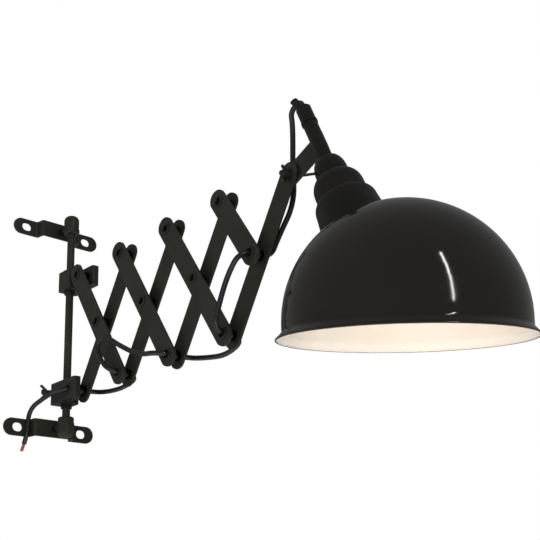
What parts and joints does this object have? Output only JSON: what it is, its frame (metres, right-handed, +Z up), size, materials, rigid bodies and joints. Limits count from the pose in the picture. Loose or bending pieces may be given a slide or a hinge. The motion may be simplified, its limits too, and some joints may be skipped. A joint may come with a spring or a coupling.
{
  "type": "accordion wall lamp",
  "caption": "Wall lamp on a scissor arm of flat black bars that slides and turns on an upright rod, with a domed shade on a tilting pipe.",
  "frame": {"origin": "on the wall plane, midway between the two slots of the lower bracket", "axes": "+X out from the wall, +Y along the wall to the left seen from the room, +Z up"},
  "size_m": [0.704, 0.2309, 0.3327],
  "materials": {
    "bar": "satin black powder coat on cold-rolled steel strip",
    "bracket": "satin black powder coat on steel strip",
    "boss": "satin black on turned steel",
    "rod": "satin black on drawn steel bar",
    "block": "satin black on cast metal",
    "bush": "satin black on turned steel",
    "rivet": "blackened steel",
    "sleeve": "bright zinc plate",
    "hardware": "blackened zinc plate, worn on the edges",
    "pipe": "satin black on steel tube",
    "neck": "satin black on spun steel",
    "shade": "gloss black enamel outside, gloss white enamel inside",
    "holder": "glazed white body",
    "contact": "bright brass",
    "cord": "glossy black PVC sheath",
    "conductor": "bare copper strands"
  },
  "bodies": {
    "wall_mount": {"strap_lower": "bracket", "strap_upper": "bracket", "boss_lower": "boss", "boss_upper": "boss", "rod": "rod", "cord_wall": "cord", "conductors": "conductor"},
    "slider": {"lower_bush": "bush"},
    "lower_block": {"lower_block": "block", "base_rivet": "rivet", "base_sleeve": "sleeve"},
    "clamp_screw": {"clamp_screw": "hardware"},
    "back_bar_1": {"back_bar_1": "bar", "cord_bay_one": "cord"},
    "front_bar_1": {"front_bar_1": "bar", "front_bar_1_rivets": "rivet", "front_bar_1_sleeves": "sleeve"},
    "back_bar_2": {"back_bar_2": "bar", "cord_bay_two": "cord"},
    "front_bar_2": {"front_bar_2": "bar", "front_bar_2_rivets": "rivet", "front_bar_2_sleeves": "sleeve"},
    "back_bar_3": {"back_bar_3": "bar", "cord_bay_three": "cord"},
    "front_bar_3": {"front_bar_3": "bar", "front_bar_3_rivets": "rivet", "front_bar_3_sleeves": "sleeve"},
    "back_bar_4": {"back_bar_4": "bar", "cord_bay_four": "cord", "cord_back": "cord"},
    "front_bar_4": {"front_bar_4": "bar", "front_bar_4_rivets": "rivet", "front_bar_4_sleeves": "sleeve"},
    "upper_block": {"upper_block": "block", "upper_bush": "bush"},
    "arm": {"link_bar": "bar", "knuckle_washers": "hardware", "knuckle_bolt": "hardware", "pipe": "pipe", "cap_ring": "pipe", "pipe_cap": "pipe", "cord_tongue": "pipe", "retaining_nut": "pipe", "cord_upper": "cord"},
    "wing_nut": {"wing_nut": "hardware"},
    "head": {"shade": "shade", "neck": "neck", "lampholder_body": "holder", "lampholder_shell": "contact", "lampholder_contact": "contact", "lampholder_ring": "pipe"},
    "neck_screw": {"neck_screw": "hardware"}
  },
  "joints": [
    {"name": "height", "type": "slide", "parent": "wall_mount", "child": "slider", "axis": [0, 0, 1], "range_m": [-0.011, 0.025]},
    {"name": "swing", "type": "hinge", "parent": "slider", "child": "lower_block", "pos_m": [0.04, 0, 0.0395], "axis": [0, 0, 1], "range_deg": [-75, 75], "deforming": ["cord_wall"]},
    {"name": "clamp_turn", "type": "hinge", "parent": "lower_block", "child": "clamp_screw", "pos_m": [0.04, 0, 0.044], "axis": [-0.6428, -0.766, 0], "continuous": true},
    {"name": "fold", "type": "hinge", "parent": "lower_block", "child": "back_bar_1", "pos_m": [0.0695, 0, 0.0395], "axis": [0, 1, 0], "range_deg": [-21.7, 30.3], "deforming": ["cord_bay_one", "cord_bay_two", "cord_bay_three", "cord_bay_four", "cord_back"]},
    {"name": "cross_one", "type": "hinge", "parent": "back_bar_1", "child": "front_bar_1", "pos_m": [0.11679, 0, 0.11607], "axis": [0, 1, 0], "range_deg": [-60.6, 43.4]},
    {"name": "foot_one", "type": "hinge", "parent": "front_bar_1", "child": "back_bar_2", "pos_m": [0.16409, 0, 0.0395], "axis": [0, 1, 0], "range_deg": [-43.4, 60.6]},
    {"name": "cross_two", "type": "hinge", "parent": "back_bar_2", "child": "front_bar_2", "pos_m": [0.21138, 0, 0.11607], "axis": [0, 1, 0], "range_deg": [-60.6, 43.4]},
    {"name": "foot_two", "type": "hinge", "parent": "front_bar_2", "child": "back_bar_3", "pos_m": [0.25867, 0, 0.0395], "axis": [0, 1, 0], "range_deg": [-43.4, 60.6]},
    {"name": "cross_three", "type": "hinge", "parent": "back_bar_3", "child": "front_bar_3", "pos_m": [0.30596, 0, 0.11607], "axis": [0, 1, 0], "range_deg": [-60.6, 43.4]},
    {"name": "foot_three", "type": "hinge", "parent": "front_bar_3", "child": "back_bar_4", "pos_m": [0.35325, 0, 0.0395], "axis": [0, 1, 0], "range_deg": [-43.4, 60.6]},
    {"name": "cross_four", "type": "hinge", "parent": "back_bar_4", "child": "front_bar_4", "pos_m": [0.40055, 0, 0.11607], "axis": [0, 1, 0], "range_deg": [-60.6, 43.4]},
    {"name": "upper_pivot", "type": "hinge", "parent": "front_bar_1", "child": "upper_block", "pos_m": [0.0695, 0, 0.19265], "axis": [0, 1, 0], "range_deg": [-21.7, 30.3]},
    {"name": "knuckle", "type": "hinge", "parent": "back_bar_4", "child": "arm", "pos_m": [0.44784, 0, 0.19265], "axis": [0, 1, 0], "range_deg": [-60, 20], "deforming": ["cord_upper"]},
    {"name": "wing_nut_turn", "type": "hinge", "parent": "arm", "child": "wing_nut", "pos_m": [0.44784, 0, 0.19265], "axis": [0, -1, 0], "continuous": true},
    {"name": "head_turn", "type": "hinge", "parent": "arm", "child": "head", "pos_m": [0.5025, 0.00375, 0.195], "axis": [0.3502, 0, -0.9367], "range_deg": [-160, 160]},
    {"name": "neck_screw_turn", "type": "hinge", "parent": "head", "child": "neck_screw", "pos_m": [0.5116, 0.00375, 0.17065], "axis": [-0.5183, -0.8329, -0.1938], "continuous": true}
  ],
  "couplings": [
    {"joint": "cross_one", "follows": "fold", "ratio": -2},
    {"joint": "foot_one", "follows": "fold", "ratio": 2},
    {"joint": "cross_two", "follows": "fold", "ratio": -2},
    {"joint": "foot_two", "follows": "fold", "ratio": 2},
    {"joint": "cross_three", "follows": "fold", "ratio": -2},
    {"joint": "foot_three", "follows": "fold", "ratio": 2},
    {"joint": "cross_four", "follows": "fold", "ratio": -2},
    {"joint": "upper_pivot", "follows": "fold", "ratio": 1}
  ]
}
